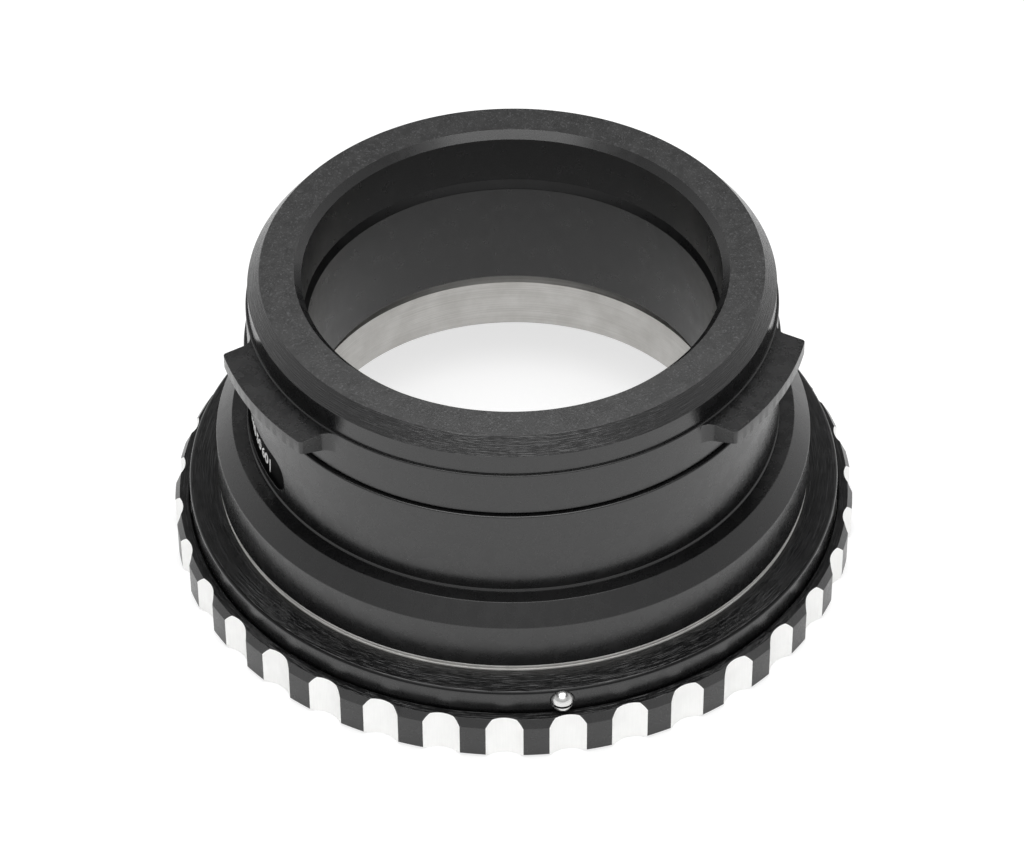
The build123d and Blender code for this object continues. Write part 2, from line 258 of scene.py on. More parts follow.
@dataclass(frozen=True)
class BareMetal:
    """Bare turned or milled metal with streaks along the cut."""

    name: str
    light: Triple = (0.80, 0.79, 0.77)
    dark: Triple = (0.56, 0.55, 0.53)
    roughness: float = 0.34
    mark_depth: float = 0.002
    mark_pitch: float = 0.09
    cloud_scale: float = 350
    round_the_axis: bool = True

    def build(self) -> Material:
        """Writes the material."""
        sheet = FinishSheet(self.name)
        at = sheet.place()
        x, y, z = sheet.axes(at)
        pitch = 1 / (self.mark_pitch * MM)
        if self.round_the_axis:
            streaked = sheet.vector(x * 60, y * 60, z * pitch)
        else:
            streaked = sheet.vector(x * pitch, y * pitch, z * 300)
        marks = sheet.noise(streaked, 1.0, 3.0, 0.65)
        cloud = sheet.noise(at, self.cloud_scale, 3.0, 0.6)
        colour = sheet.blend((marks * 0.6 + cloud * 0.4).spread(0.3, 0.7), self.dark, self.light)
        return sheet.surface(Base_Color=colour, Metallic=1.0,
                             Roughness=marks.spread(0.2, 0.8, self.roughness * 0.8, self.roughness * 1.3),
                             Normal=sheet.relief(marks, self.mark_depth * MM))


@dataclass(frozen=True)
class PlainCoat:
    """Paint or plastic of one colour, a little uneven."""

    name: str
    colour: Triple
    roughness: float
    patch_scale: float
    shade: float

    def build(self) -> Material:
        """Writes the material."""
        sheet = FinishSheet(self.name)
        patch = sheet.noise(sheet.place(), self.patch_scale)
        colour = sheet.blend(patch, [c * self.shade for c in self.colour], self.colour)
        return sheet.surface(Base_Color=colour, Roughness=self.roughness)


class Bench:
    """Modelling steps that the classes share, made with Blender's own operators."""

    @staticmethod
    def clear_selection() -> None:
        """Leaves edit mode and selects nothing."""
        if bpy.context.mode != "OBJECT":
            bpy.ops.object.mode_set(mode="OBJECT")
        bpy.ops.object.select_all(action="DESELECT")

    @staticmethod
    def only(piece: Piece) -> None:
        """Selects one piece and makes it active."""
        Bench.clear_selection()
        piece.select_set(True)
        bpy.context.view_layer.objects.active = piece

    @staticmethod
    def settle(piece: Piece) -> None:
        """Puts the piece's place into its mesh."""
        Bench.only(piece)
        bpy.ops.object.transform_apply(location=True, rotation=True, scale=True)

    @staticmethod
    def edit_all() -> None:
        """Opens the active piece's mesh with everything selected."""
        bpy.ops.object.mode_set(mode="EDIT")
        bpy.ops.mesh.select_all(action="SELECT")

    @staticmethod
    def close_outwards() -> None:
        """Turns all faces outwards and leaves edit mode."""
        bpy.ops.mesh.select_all(action="SELECT")
        bpy.ops.mesh.normals_make_consistent(inside=False)
        bpy.ops.object.mode_set(mode="OBJECT")

    @staticmethod
    def lathe(name: str, outline: Sequence[Pair], steps: int = 288, ring: bool = True) -> Piece:
        """Turns a closed ring from its section, one extruded edge loop at a time.

        Args:
            name: The piece's name.
            outline: Radius and height of each corner in millimetres, in order round the section.
            steps: Faces round the axis.
            ring: False for a solid whose outline starts and ends on the axis.

        Returns:
            The piece, with its normals outwards.
        """
        Bench.clear_selection()
        first_radius, first_height = outline[0]
        bpy.ops.mesh.primitive_circle_add(vertices=steps, radius=first_radius * MM, fill_type="NOTHING",
                                          location=(0, 0, first_height * MM))
        piece = bpy.context.object
        piece.name = name
        piece.data.name = name
        Bench.settle(piece)
        Bench.edit_all()
        radius, height = first_radius, first_height
        for next_radius, next_height in [*outline[1:], outline[0]] if ring else outline[1:]:
            bpy.ops.mesh.extrude_edges_move(
                TRANSFORM_OT_translate={"value": (0, 0, (next_height - height) * MM)})
            share = next_radius / radius
            bpy.ops.transform.resize(value=(share, share, 1.0), center_override=(0, 0, 0))
            radius, height = next_radius, next_height
        bpy.ops.mesh.select_all(action="SELECT")
        bpy.ops.mesh.remove_doubles(threshold=0.001 * MM)
        Bench.close_outwards()
        return piece

    @staticmethod
    def cylinder(name: str, radius: float, low: float, high: float, at: Pair = (0, 0), steps: int = 64) -> Piece:
        """Adds an upright cylinder, in millimetres.

        Args:
            name: The piece's name.
            radius: Its radius.
            low: Height of its foot.
            high: Height of its top.
            at: Its axis in plan.
            steps: Faces round it.

        Returns:
            The cylinder.
        """
        Bench.clear_selection()
        bpy.ops.mesh.primitive_cylinder_add(vertices=steps, radius=radius * MM, depth=(high - low) * MM,
                                            location=(at[0] * MM, at[1] * MM, (low + high) / 2 * MM))
        piece = bpy.context.object
        piece.name = name
        Bench.settle(piece)
        return piece

    @staticmethod
    def flat(name: str, corners: Sequence[Pair], height: float) -> Piece:
        """Adds a flat outline, in millimetres, and leaves it open in edit mode.

        Args:
            name: The piece's name.
            corners: The outline in plan.
            height: Where it lies.

        Returns:
            The outline, one face.
        """
        Bench.clear_selection()
        bpy.ops.mesh.primitive_circle_add(vertices=len(corners), radius=1, fill_type="NGON")
        piece = bpy.context.object
        piece.name = name
        for vertex, (x, y) in zip(piece.data.vertices, corners):
            vertex.co = (x * MM, y * MM, height * MM)
        Bench.edit_all()
        return piece

    @staticmethod
    def raise_up(rise: float) -> None:
        """Extrudes the open outline upwards by millimetres and closes the mesh."""
        bpy.ops.mesh.select_all(action="SELECT")
        bpy.ops.mesh.extrude_region_move(TRANSFORM_OT_translate={"value": (0, 0, rise * MM)})
        Bench.close_outwards()

    @staticmethod
    def combine(piece: Piece, tool: Piece, operation: str) -> Piece:
        """Cuts, joins or intersects two pieces and deletes the tool.

        Args:
            piece: What is kept.
            tool: What is used up, and whose material comes with its faces.
            operation: DIFFERENCE, UNION or INTERSECT.

        Returns:
            The piece.
        """
        Bench.only(piece)
        step = piece.modifiers.new("cut", "BOOLEAN")
        step.object = tool
        step.operation = operation
        step.solver = "EXACT"
        step.material_mode = "TRANSFER"
        bpy.ops.object.modifier_apply(modifier=step.name)
        bpy.data.objects.remove(tool)
        return piece

    @staticmethod
    def joined(name: str, pieces: Sequence[Piece]) -> Piece:
        """Joins several pieces into the first, under a new name."""
        Bench.clear_selection()
        for piece in pieces:
            piece.select_set(True)
        bpy.context.view_layer.objects.active = pieces[0]
        bpy.ops.object.join()
        pieces[0].name = name
        return pieces[0]

    @staticmethod
    def sort() -> None:
        """Numbers the open mesh by distance from a point, because each cut leaves its own order."""
        cursor = bpy.context.scene.cursor
        cursor.location = SORT_FROM
        bpy.ops.mesh.sort_elements(type="CURSOR_DISTANCE", elements={"VERT", "EDGE", "FACE"})
        cursor.location = (0, 0, 0)

    @staticmethod
    def clean(piece: Piece, gap: float = WELD) -> None:
        """Merges corners that lie within a gap in millimetres and turns all faces outwards."""
        Bench.only(piece)
        Bench.edit_all()
        Bench.sort()
        bpy.ops.mesh.remove_doubles(threshold=gap * MM)
        bpy.ops.mesh.dissolve_degenerate(threshold=gap * MM)
        bpy.ops.mesh.select_all(action="SELECT")
        bpy.ops.mesh.normals_make_consistent(inside=False)
        if bmesh.from_edit_mesh(piece.data).calc_volume(signed=True) < 0:
            bpy.ops.mesh.flip_normals()
        bpy.ops.object.mode_set(mode="OBJECT")

    @staticmethod
    def soften(piece: Piece, width: float, segments: int = 2, angle: float = 20.0) -> None:
        """Breaks the sharp edges as a deburring tool does, and smooths what is round but keeps flats flat.

        Args:
            piece: The piece.
            width: Width of the break in millimetres.
            segments: Faces across it.
            angle: Edges sharper than this, in degrees, are broken.
        """
        Bench.clean(piece, SLIVER)
        step = piece.modifiers.new("edges", "BEVEL")
        step.width = width * MM
        step.segments = segments
        step.limit_method = "ANGLE"
        step.angle_limit = math.radians(angle)
        bpy.ops.object.modifier_apply(modifier=step.name)
        Bench.clean(piece)
        bpy.ops.object.shade_smooth_by_angle(angle=math.radians(angle))
        level = piece.modifiers.new("normals", "WEIGHTED_NORMAL")
        level.keep_sharp = True
        bpy.ops.object.modifier_apply(modifier=level.name)

    @staticmethod
    def chamfer(piece: Piece, width: float, chosen: Callable[[Vector], bool], angle: float = 40.0) -> None:
        """Chamfers some of the piece's sharp edges.

        Args:
            piece: The piece.
            width: Width of the chamfer in millimetres.
            chosen: Says by an edge's middle, in millimetres, whether it is one of them.
            angle: Edges sharper than this, in degrees, are asked about.
        """
        Bench.only(piece)
        bpy.ops.object.mode_set(mode="EDIT")
        bpy.ops.mesh.select_mode(type="EDGE")
        bpy.ops.mesh.select_all(action="DESELECT")
        bpy.ops.mesh.edges_select_sharp(sharpness=math.radians(angle))
        bpy.ops.object.mode_set(mode="OBJECT")
        corners = piece.data.vertices
        for edge in piece.data.edges:
            first, last = edge.vertices
            edge.select = edge.select and chosen((corners[first].co + corners[last].co) / 2 / MM)
        bpy.ops.object.mode_set(mode="EDIT")
        bpy.ops.mesh.bevel(offset=width * MM, segments=1, clamp_overlap=True)
        bpy.ops.mesh.select_mode(type="VERT")
        bpy.ops.object.mode_set(mode="OBJECT")

    @staticmethod
    def dress(piece: Piece, material: Material) -> None:
        """Gives the piece one material."""
        piece.data.materials.clear()
        piece.data.materials.append(material)

    @staticmethod
    def zone(piece: Piece, material: Material, chosen: Callable[[Vector, Vector], bool]) -> None:
        """Gives some of the piece's faces another material.

        Args:
            piece: The piece, already dressed.
            material: Their material.
            chosen: Says by a face's centre, in millimetres, and its normal whether it is one of them.
        """
        piece.data.materials.append(material)
        for face in piece.data.polygons:
            if chosen(face.center / MM, face.normal):
                face.material_index = len(piece.data.materials) - 1

    @staticmethod
    def hand_over(piece: Piece, body: str, slot: SlotName, *nodes: str) -> None:
        """Hangs the piece on its body's empty and hides the CAD nodes that it stands for.

        Args:
            piece: The finished piece.
            body: Body that it rides on.
            slot: Slot of its finish; not used.
            nodes: CAD nodes that it replaces.
        """
        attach(piece, body)
        if nodes:
            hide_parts(*nodes)
        log.info("%s: %d faces", piece.name, len(piece.data.polygons))


def top_of(node: str) -> float:
    """Height of a CAD node's top in millimetres."""
    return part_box(node)[1].z / MM


def foot_of(node: str) -> float:
    """Height of a CAD node's foot in millimetres."""
    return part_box(node)[0].z / MM


def reach_of(node: str) -> float:
    """Outer radius of a round CAD node in millimetres, read across X."""
    low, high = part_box(node)
    return (high.x - low.x) / 2 / MM


def spot(angle: float, radius: float) -> Pair:
    """Plan position at an angle in degrees and a radius."""
    turn = math.radians(angle)
    return radius * math.cos(turn), radius * math.sin(turn)


def arc(centre: Pair, radius: float, start: float, end: float, steps: int) -> list[Pair]:
    """Points along an arc, both ends included.

    Args:
        centre: Its centre in plan.
        radius: Its radius.
        start: First angle in degrees.
        end: Last angle in degrees.
        steps: Number of chords.

    Returns:
        The points.
    """
    points = []
    for n in range(steps + 1):
        x, y = spot(start + (end - start) * n / steps, radius)
        points.append((centre[0] + x, centre[1] + y))
    return points


def nosing(outer: float, low: float, inner: float, high: float, steps: int = 6) -> list[Pair]:
    """Section of a rounded upper edge, from the wall at outer, low to the top at inner, high."""
    turns = [math.pi / 2 * n / steps for n in range(steps + 1)]
    return [(inner + (outer - inner) * math.cos(t), low + (high - low) * math.sin(t)) for t in turns]


@dataclass
class BayonetBarrel:
    """Camera-side barrel with its rim, pilot wall, three lugs and spigot."""

    black: Material
    satin: Material
    turned: Material
    inside: Material
    grained: Material
    wear_and_highlight: Material
    top: float = top_of("bayonet_barrel")
    foot: float = foot_of("bayonet_barrel")
    tube_top: float = top_of("body_tube")
    radius: float = 30.0
    pilot_step: float = 0.3
    ledge_edge: float = 0.1
    rim_height: float = 1.8
    pilot_height: float = 2.55
    rim_chamfer: float = 1.4
    bore: float = 23.6
    bore_chamfer: float = 0.8
    bore_chamfer_height: float = 0.85
    spigot: float = 27.5
    spigot_bore: float = 25.4
    seam: float = 0.28
    end_gap: float = 0.06
    lug_count: int = 3
    lug_angle: float = 211.35
    lug_reach: float = 3.5
    lug_half_width: float = 8.65
    lug_drop: float = 0.2
    lug_edge: float = 1.65
    lug_root: float = 2.6
    lug_break: float = 0.16
    lug_overlap: float = 0.5
    wedge_overlap: float = 0.2
    wedge_over: float = 0.001
    tip_fillet: float = 0.45
    root_fillet: float = 1.45
    edge_break: float = 0.06
    rim_margin: float = 0.1
    bore_margin: float = 0.03
    lug_margin: float = 0.02
    break_margin: float = 0.06
    wear_and_highlight_margin: float = 0.1

    @property
    def ledge(self) -> float:
        """Height of the step under the pilot wall."""
        return self.top - self.rim_height - self.pilot_height

    def shell(self) -> Piece:
        """Turns the barrel without its lugs."""
        pilot = self.radius - self.pilot_step
        liner_top = top_of("inner_liner") + self.end_gap
        return Bench.lathe("bayonet_barrel_looks", [
            (self.spigot_bore, self.foot),
            (self.spigot, self.foot),
            (self.spigot, self.tube_top),
            (self.radius - self.seam, self.tube_top),
            (self.radius, self.tube_top + self.seam),
            (self.radius, self.ledge - self.ledge_edge),
            (self.radius - self.ledge_edge, self.ledge),
            (pilot, self.ledge),
            (pilot, self.top - self.rim_height),
            (pilot - self.rim_chamfer, self.top),
            (self.bore + self.bore_chamfer, self.top),
            (self.bore, self.top - self.bore_chamfer_height),
            (self.bore, liner_top),
            (self.spigot_bore, liner_top),
        ])

    def lug_outline(self) -> list[Pair]:
        """Plan of one lug along +X: arc, rounded tips, parallel flanks and milled root fillets."""
        tip = self.radius + self.lug_reach
        half, round_tip, root = self.lug_half_width, self.tip_fillet, self.root_fillet
        tip_y = half - round_tip
        tip_x = math.sqrt((tip - round_tip) ** 2 - tip_y ** 2)
        tip_turn = math.degrees(math.atan2(tip_y, tip_x))
        root_y = half + root
        root_x = math.sqrt((self.radius + root) ** 2 - root_y ** 2)
        root_turn = math.degrees(math.atan2(root_y, root_x))
        side = arc((tip_x, tip_y), round_tip, tip_turn, 90, 8)
        side += arc((root_x, root_y), root, 270, 180 + root_turn, 8)
        side.append(spot(root_turn, self.spigot + self.lug_overlap))
        upper = arc((0, 0), tip, 0, tip_turn, 20)[:-1] + side
        lower = [(x, -y) for x, y in reversed(upper[1:])]
        return upper + lower

    def lug(self, angle: float) -> Piece:
        """One lug: the plate of its plan, kept where it lies inside the turned wedge."""
        tip = self.radius + self.lug_reach
        top = self.ledge - self.lug_drop
        inner, outer = self.spigot + self.wedge_overlap, tip + self.wedge_over
        plate = Bench.flat("lug", self.lug_outline(), self.tube_top)
        Bench.raise_up(self.top - self.tube_top)
        wedge = Bench.lathe("wedge", [
            (inner, top - self.lug_root),
            (self.radius, top - self.lug_root),
            (outer, top - self.lug_edge),
            (outer, top),
            (inner, top),
        ], 360)
        lug = Bench.combine(plate, wedge, "INTERSECT")
        lug.data.transform(Matrix.Rotation(math.radians(angle), 4, "Z"))
        return lug

    def build(self) -> None:
        """Makes the barrel."""
        barrel = self.shell()
        for n in range(self.lug_count):
            Bench.combine(barrel, self.lug(self.lug_angle + n * 360 / self.lug_count), "UNION")
        Bench.clean(barrel, SLIVER)
        Bench.chamfer(barrel, self.lug_break, lambda middle: (
            middle.xy.length > self.radius + self.break_margin
            and middle.z > self.ledge - self.lug_drop - NEAR))
        Bench.soften(barrel, self.edge_break)
        Bench.dress(barrel, self.black)
        rim = self.top - self.rim_height + self.rim_margin
        rim_edge = self.radius - self.pilot_step - self.rim_chamfer
        Bench.zone(barrel, self.satin, lambda centre, normal: centre.z > rim and normal.z > FLAT)
        Bench.zone(barrel, self.turned, lambda centre, normal: (
            rim < centre.z < self.top - self.rim_margin and centre.xy.length > rim_edge))
        Bench.zone(barrel, self.inside, lambda centre, normal: (
            centre.xy.length < self.bore + self.bore_margin))
        Bench.zone(barrel, self.grained, lambda centre, normal: (
            centre.xy.length > self.radius + self.lug_margin and normal.z > FLAT))
        # The lugs' sloping edge faces are lighter grey: wear and a painted highlight together.
        Bench.zone(barrel, self.wear_and_highlight, lambda centre, normal: (
            centre.xy.length > self.radius + self.wear_and_highlight_margin and 0.2 < normal.z < FLAT))
        Bench.hand_over(barrel, BODY, SlotName.BLACK, "bayonet_barrel")


@dataclass
class InnerLiner:
    """Black light-trap liner of the bore."""

    matt: Material
    top: float = top_of("inner_liner")
    foot: float = foot_of("inner_liner")
    radius: float = reach_of("inner_liner")
    bore: float = 23.2
    chamfer: float = 0.5
    chamfer_height: float = 1.05
    edge_break: float = 0.05

    def build(self) -> None:
        """Makes the liner."""
        liner = Bench.lathe("inner_liner_looks", [
            (self.bore, self.foot),
            (self.radius, self.foot),
            (self.radius, self.top),
            (self.bore + self.chamfer, self.top),
            (self.bore, self.top - self.chamfer_height),
        ])
        Bench.soften(liner, self.edge_break)
        Bench.dress(liner, self.matt)
        Bench.hand_over(liner, BODY, SlotName.MATT, "inner_liner")


@dataclass
class BodyTube:
    """Plain tube with a recess for markings in its side."""

    black: Material
    floor: Material
    paint: Material
    top: float = top_of("body_tube")
    foot: float = foot_of("body_tube")
    shelf: float = top_of("mount_collar")
    radius: float = reach_of("body_tube")
    bore: float = 27.55
    edge: float = 0.12
    recess_angle: float = 187.0
    recess_span: float = 51.0
    recess_height: float = 4.4
    recess_foot: float = 1.1
    recess_depth: float = 0.45
    recess_cuts: int = 48
    mark_size: float = 2.2
    mark_bold: float = 0.02
    mark_thick: float = 0.03
    mark_lift: float = 0.02
    mark_angle: float = 188.7
    mark_height: float = 1.25
    bead: float = 0.2
    bead_rise: float = 0.22
    edge_break: float = 0.08

    def cutter(self) -> Piece:
        """Makes the recess's cutter: a stadium wrapped round the tube."""
        half = self.recess_height / 2
        reach = math.radians(self.recess_span) * self.radius / 2 - half
        outline = arc((reach, 0), half, -90, 90, 16) + arc((-reach, 0), half, 90, 270, 16)
        cutter = Bench.flat("recess", outline, self.radius - self.recess_depth)
        length = 2 * (reach + half)
        for n in range(1, self.recess_cuts):
            cut = (n / self.recess_cuts - 0.5) * length * MM
            bpy.ops.mesh.select_all(action="SELECT")
            bpy.ops.mesh.bisect(plane_co=(cut, 0, 0), plane_no=(1, 0, 0))
        Bench.raise_up(2 * self.recess_depth)
        self.wrap(cutter, self.recess_angle, self.shelf + self.recess_foot + half)
        return cutter

    def wrap(self, piece: Piece, angle: float, height: float) -> None:
        """Wraps a flat piece round the tube.

        Args:
            piece: Flat piece, whose X runs round the tube, Y runs up and Z is its radius.
            angle: Where its middle goes.
            height: Height of its middle.
        """
        for vertex in piece.data.vertices:
            x, y, z = vertex.co
            turn = math.radians(angle) + x / (self.radius * MM)
            vertex.co = (z * math.cos(turn), z * math.sin(turn), y + height * MM)

    def markings(self) -> Piece:
        """Plain numbers and a line on the recess's floor."""
        height = self.shelf + self.recess_foot + self.mark_height
        Bench.clear_selection()
        bpy.ops.object.text_add()
        text = bpy.context.object
        text.data.body = "0 10 20 30 40 50 60 |"
        text.data.size = self.mark_size * MM
        text.data.space_word = 0.45
        text.data.offset = self.mark_bold * MM
        text.data.resolution_u = 4
        text.data.shear = 0.1
        text.data.align_x = "CENTER"
        text.data.align_y = "CENTER"
        text.data.extrude = self.mark_thick * MM
        bpy.ops.object.convert(target="MESH")
        text.name = "tube_markings"
        Bench.clean(text)
        for vertex in text.data.vertices:
            vertex.co.z += (self.radius - self.recess_depth + self.mark_lift) * MM
        self.wrap(text, self.mark_angle, height)
        return text

    def build(self) -> None:
        """Makes the tube and its markings."""
        tube = Bench.lathe("body_tube_looks", [
            (self.bore, self.foot),
            (self.radius, self.foot),
            (self.radius, self.shelf - self.bead_rise),
            (self.radius + self.bead, self.shelf),
            (self.radius, self.shelf + self.bead_rise),
            (self.radius, self.top - self.edge),
            (self.radius - self.edge, self.top),
            (self.bore, self.top),
        ])
        Bench.dress(tube, self.black)
        cutter = self.cutter()
        Bench.dress(cutter, self.floor)
        Bench.combine(tube, cutter, "DIFFERENCE")
        Bench.soften(tube, self.edge_break)
        Bench.hand_over(tube, BODY, SlotName.BLACK, "body_tube")
        marks = self.markings()
        Bench.dress(marks, self.paint)
        Bench.hand_over(marks, BODY, SlotName.BLACK)


@dataclass
class MountCollar:
    """Bevelled collar under the tube."""

    black: Material
    top: float = top_of("mount_collar")
    foot: float = foot_of("mount_collar")
    radius: float = reach_of("mount_collar")
    bore: float = 27.55
    chamfer: float = 1.9
    chamfer_height: float = 2.2
    seat: float = 30.5
    seat_depth: float = 0.5
    seat_edge: float = 0.12
    edge_break: float = 0.08

    def build(self) -> None:
        """Makes the collar."""
        collar = Bench.lathe("mount_collar_looks", [
            (self.bore, self.foot),
            (self.radius, self.foot),
            (self.radius, self.top - self.chamfer_height),
            (self.radius - self.chamfer, self.top),
            (self.seat + self.seat_edge, self.top),
            (self.seat, self.top - self.seat_edge),
            (self.seat, self.top - self.seat_depth),
            (self.bore, self.top - self.seat_depth),
        ])
        Bench.soften(collar, self.edge_break)
        Bench.dress(collar, self.black)
        Bench.hand_over(collar, BODY, SlotName.BLACK, "mount_collar")


@dataclass
class LensSeat:
    """Bare metal seat ring and the shim under it."""

    # Darker copy of the bare metal, for the sleeve inside the bore: painted shade.
    bare: Material
    band: Material
    top: float = top_of("lens_seat_ring")
    foot: float = foot_of("lens_seat_ring")
    radius: float = reach_of("lens_seat_ring")
    shim_low: float = foot_of("register_shim")
    shim_high: float = top_of("register_shim")
    plate: float = foot_of("mount_collar")
    bore: float = 24.0
    sleeve: float = 25.3
    land: float = 28.4
    shim_bore: float = 28.9
    top_chamfer: float = 1.0
    top_chamfer_height: float = 1.6
    foot_chamfer: float = 0.5
    edge: float = 0.1
    edge_break: float = 0.04
    band_depth: float = 1.0

    def build(self) -> None:
        """Makes the seat ring and the shim."""
        seat = Bench.lathe("lens_seat_looks", [
            (self.bore + self.foot_chamfer, self.foot),
            (self.land, self.foot),
            (self.land, self.shim_high),
            (self.radius - self.edge, self.shim_high),
            (self.radius, self.shim_high + self.edge),
            (self.radius, self.plate - self.edge),
            (self.radius - self.edge, self.plate),
            (self.sleeve, self.plate),
            (self.sleeve, self.top),
            (self.bore + self.top_chamfer, self.top),
            (self.bore, self.top - self.top_chamfer_height),
            (self.bore, self.foot + self.foot_chamfer),
        ])
        Bench.soften(seat, self.edge_break)
        # The sleeve inside the bore is darker than the outer band: painted shade on the same metal.
        Bench.dress(seat, self.bare)
        Bench.zone(seat, self.band, lambda centre, normal: centre.xy.length > self.radius - self.band_depth)
        Bench.hand_over(seat, BODY, SlotName.BARE, "lens_seat_ring")
        shim = Bench.lathe("register_shim_looks", [
            (self.shim_bore, self.shim_low),
            (self.radius, self.shim_low),
            (self.radius, self.shim_high - self.edge),
            (self.radius - self.edge, self.shim_high),
            (self.shim_bore, self.shim_high),
        ])
        Bench.soften(shim, self.edge_break)
        Bench.dress(shim, self.band)
        Bench.hand_over(shim, BODY, SlotName.BARE, "register_shim")


@dataclass
class MountFlange:
    """Black flange that the locking ring turns on, with the index screw in its edge."""

    black: Material
    turned: Material
    steel: Material
    # Near-black finish on the screw slot's faces: painted shade in the slot.
    dark: Material
    dull: Material
    top: float = top_of("mount_flange")
    foot: float = foot_of("mount_flange")
    radius: float = reach_of("mount_flange")
    bore: float = 28.5
    cavity: float = 33.3
    web: float = 2.65
    chamfer: float = 0.4
    chamfer_height: float = 0.5
    index_angle: float = 277.9
    index_height: float = 6.825
    head_radius: float = 1.3
    head_height: float = 1.55
    head_rim: float = 0.3
    head_steps: int = 9
    head_break: float = 0.05
    spot_depth: float = 0.3
    spot_gap: float = 0.05
    spot_reach: float = 2.0
    slot_width: float = 0.3
    slot_depth: float = 0.55
    edge_break: float = 0.06

    def outward(self, piece: Piece, radius: float) -> None:
        """Turns a piece whose axis is Z so that it points out of the flange's edge."""
        turn = math.radians(self.index_angle)
        x, y = spot(self.index_angle, radius * MM)
        piece.data.transform(Matrix.Translation((x, y, self.index_height * MM))
                             @ Matrix.Rotation(turn, 4, "Z") @ Matrix.Rotation(math.pi / 2, 4, "Y"))

    def screw(self) -> Piece:
        """The index screw's domed head, with its slot."""
        dome = self.head_height - self.head_rim
        ball = (self.head_radius ** 2 + dome ** 2) / (2 * dome)
        swing = math.degrees(math.asin(self.head_radius / ball))
        outline = [(AXIS, 0.0), (self.head_radius, 0.0)]
        for n in range(self.head_steps):
            turn = math.radians(swing * (1 - n / self.head_steps))
            outline.append((ball * math.sin(turn), self.head_height - ball + ball * math.cos(turn)))
        outline.append((AXIS, self.head_height))
        head = Bench.lathe("index_screw_looks", outline, 64, ring=False)
        Bench.dress(head, self.steel)
        Bench.clear_selection()
        bpy.ops.mesh.primitive_cube_add(size=1, location=(0, 0, self.head_height * MM),
                                        scale=(self.slot_width * MM, 4 * self.head_radius * MM,
                                               2 * self.slot_depth * MM))
        slot = bpy.context.object
        Bench.settle(slot)
        # The slot's faces are near-black: painted shade in the slot of a steel head.
        Bench.dress(slot, self.dark)
        Bench.combine(head, slot, "DIFFERENCE")
        Bench.soften(head, self.head_break, 3, 25)
        self.outward(head, self.radius - self.spot_depth)
        return head

    def build(self) -> None:
        """Makes the flange and the index screw."""
        flange = Bench.lathe("mount_flange_looks", [
            (self.bore, self.top - self.web),
            (self.cavity, self.top - self.web),
            (self.cavity, self.foot),
            (self.radius, self.foot),
            *nosing(self.radius, self.top - self.chamfer_height, self.radius - self.chamfer, self.top),
            (self.bore, self.top),
        ])
        spot_face = Bench.cylinder("spot", self.head_radius + self.spot_gap, 0, self.spot_reach)
        self.outward(spot_face, self.radius - self.spot_depth)
        Bench.combine(flange, spot_face, "DIFFERENCE")
        Bench.soften(flange, self.edge_break)
        Bench.dress(flange, self.black)
        Bench.zone(flange, self.turned, lambda centre, normal: centre.z > self.top - NEAR and normal.z > FLAT)
        Bench.zone(flange, self.dull, lambda centre, normal: (
            centre.z > self.top - self.chamfer_height and 0.35 < normal.z < FLAT))
        Bench.hand_over(flange, BODY, SlotName.BLACK, "mount_flange")
        head = self.screw()
        Bench.hand_over(head, BODY, SlotName.SCREW, "index_screw")


@dataclass
class LockingRing:
    """Scalloped ring with three claws, the one piece that turns."""

    black: Material
    turned: Material
    bare: Material
    top: float = top_of("locking_ring")
    foot: float = foot_of("locking_ring")
    radius: float = 39.5
    bore: float = 37.73
    floor: float = 1.9
    passage: float = 34.9
    claw: float = 31.2
    claw_count: int = 3
    claw_angle: float = 270.0
    claw_span: float = 42.0
    chamfer: float = 0.57
    chamfer_height: float = 0.95
    foot_chamfer: float = 0.35
    bore_chamfer: float = 0.18
    scallop_count: int = 35
    scallop_angle: float = 268.2
    scallop_width: float = 4.3
    scallop_depth: float = 0.9
    edge_break: float = 0.06

    def scallop_cutters(self) -> Piece:
        """All the scallop cutters as one tool with bare metal faces."""
        half = self.scallop_width / 2
        cutter = (half ** 2 + self.scallop_depth ** 2) / (2 * self.scallop_depth)
        circle = self.radius - self.scallop_depth + cutter
        cutters = []
        for n in range(self.scallop_count):
            at = spot(self.scallop_angle + n * 360 / self.scallop_count, circle)
            cutters.append(Bench.cylinder("cutter", cutter, self.foot - OVER, self.top + OVER, at, 96))
        tool = Bench.joined("cutters", cutters)
        Bench.dress(tool, self.bare)
        return tool

    def claw_gap(self, angle: float) -> Piece:
        """Cutter of the passage between two claws."""
        half = (360 / self.claw_count - self.claw_span) / 2
        outline = arc((0, 0), self.claw - OVER, angle - half, angle + half, 60)
        outline += arc((0, 0), self.passage, angle + half, angle - half, 60)
        gap = Bench.flat("gap", outline, self.foot - OVER)
        Bench.raise_up(self.floor - self.foot + 2 * OVER)
        return gap

    def build(self) -> None:
        """Makes the locking ring."""
        ring = Bench.lathe("locking_ring_looks", [
            (self.claw, self.foot),
            (self.radius - self.foot_chamfer, self.foot),
            (self.radius, self.foot + self.foot_chamfer),
            (self.radius, self.top - self.chamfer_height),
            (self.radius - self.chamfer, self.top),
            (self.bore + self.bore_chamfer, self.top),
            (self.bore, self.top - self.bore_chamfer),
            (self.bore, self.floor),
            (self.claw, self.floor),
        ], 420)
        Bench.dress(ring, self.black)
        for n in range(self.claw_count):
            gap = self.claw_gap(self.claw_angle + (n + 0.5) * 360 / self.claw_count)
            Bench.dress(gap, self.black)
            Bench.combine(ring, gap, "DIFFERENCE")
        Bench.combine(ring, self.scallop_cutters(), "DIFFERENCE")
        Bench.soften(ring, self.edge_break, 2, 14)
        Bench.zone(ring, self.turned, lambda centre, normal: centre.z > self.top - NEAR and normal.z > FLAT)
        Bench.hand_over(ring, RING_BODY, SlotName.RING, "locking_ring")


